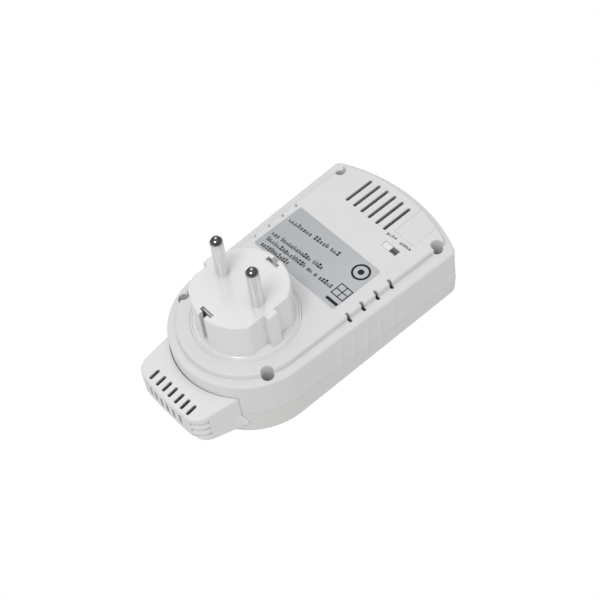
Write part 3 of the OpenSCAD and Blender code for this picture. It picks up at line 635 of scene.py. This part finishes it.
# ------------------------------------------------------------------ world
# grey ramps from facing away (0) to facing towards (1): position, red and green, blue
SOFT_TOWARDS = (-0.45, 0.80, -0.28)
SOFT_STOPS = ((0, 0.48, 0.485), (1, 0.80, 0.80))
GLOSS_TOWARDS = (0, 1, 0)
GLOSS_STOPS = (
    (0, 0.66, 0.66), (0.38, 0.70, 0.707), (0.50, 0.46, 0.4646), (0.58, 0.11, 0.1111),
    (0.72, 0.10, 0.101), (0.86, 0.17, 0.1717), (1, 0.20, 0.205),
)
# bright panels in reflections: direction, cosine at the rim, brightness
PANELS = (((0.66, 0.56, 0.46), 0.940, 0.42), ((0.50, 0.79, 0.34), 0.974, 2.0))
PANEL_BLUR = 0.007  # in cosine

world = bpy.data.worlds.new("studio")
scene.world = world
world.use_nodes = True
studio = Graph(world.node_tree)
studio.tree.nodes.clear()
view = studio.add("TexCoord").outputs["Generated"]


def facing(towards, start=-1, end=1):
    """How far the view direction turns towards a direction, as 0 to 1."""
    cosine = studio.measure("DOT_PRODUCT", view, Vector(towards).normalized())
    return studio.ranged(cosine, start, end)


def grey_ramp(position, stops):
    node = studio.add("ValToRGB", {0: position})
    elements = node.color_ramp.elements
    for index in (0, -1):
        _, grey, blue = stops[index]
        elements[index].color = (grey, grey, blue, 1)
    for at, grey, blue in stops[1:-1]:
        elements.new(at).color = (grey, grey, blue, 1)
    return node.outputs[0]


def background(colour):
    return studio.add("Background", {0: colour}).outputs[0]


white = background((1, 1, 1))
soft = background(grey_ramp(facing(SOFT_TOWARDS), SOFT_STOPS))
# reflections see a darker studio towards +Y and a pale one towards -Y
glow = grey_ramp(facing(GLOSS_TOWARDS), GLOSS_STOPS)
for towards, rim, bright in PANELS:
    panel = facing(towards, start=rim, end=rim + PANEL_BLUR)
    glow = studio.mix(panel, glow, (bright, bright, bright))
rays = studio.add("LightPath").outputs
lighting = studio.mix_shader(rays["Is Glossy Ray"], soft, background(glow))
seen = studio.mix_shader(rays["Is Camera Ray"], lighting, white)
studio.add("OutputWorld", {0: seen})

scene.view_settings.view_transform = "Standard"
scene.view_settings.look = "None"
scene.view_settings.exposure = 0.0
scene.view_settings.gamma = 1.0

# ------------------------------------------------------------------ pale floor
FLOOR_HALF = 1.6
FLOOR_Z = -0.0411


def floor_material():
    """Pale and matt, seen from above only, fading into the surroundings with distance."""
    material = bpy.data.materials.new("floor_pale")
    material.use_nodes = True
    graph = Graph(material.node_tree)
    shader = graph.tree.nodes["Principled BSDF"]
    noise = graph.add("TexNoise", {"Scale": 30}).outputs["Fac"]
    grey = graph.ranged(noise, start=0, end=1, low=0.86, high=0.90)
    colour = graph.add("CombineColor", {0: grey, 1: grey, 2: grey}).outputs[0]
    graph.feed(shader, "Base Color", colour)
    graph.feed(shader, "Roughness", 0.9)
    graph.feed(shader, "Specular IOR Level", 0.1)
    geometry = graph.add("NewGeometry").outputs
    fade = graph.ranged(graph.measure("LENGTH", geometry["Position"]),
                        start=0.16, end=1.0, interpolation_type="SMOOTHSTEP")
    hidden = graph.calc("MAXIMUM", geometry["Backfacing"], fade)
    transparent = graph.add("BsdfTransparent").outputs[0]
    seen = graph.mix_shader(hidden, shader.outputs[0], transparent)
    graph.feed(graph.tree.nodes["Material Output"], "Surface", seen)
    return material


def add_floor():
    material = floor_material()
    mesh = bmesh.new()
    mesh.faces.new([mesh.verts.new((x * FLOOR_HALF, y * FLOOR_HALF, FLOOR_Z))
                    for x, y in ((-1, -1), (1, -1), (1, 1), (-1, 1))])
    data = bpy.data.meshes.new("floor")
    mesh.to_mesh(data)
    mesh.free()
    floor = bpy.data.objects.new("floor", data)
    scene.collection.objects.link(floor)
    data.materials.append(material)
    floor.visible_diffuse = False
    floor.visible_glossy = False
    floor.visible_transmission = False
    floor.visible_shadow = False


add_floor()
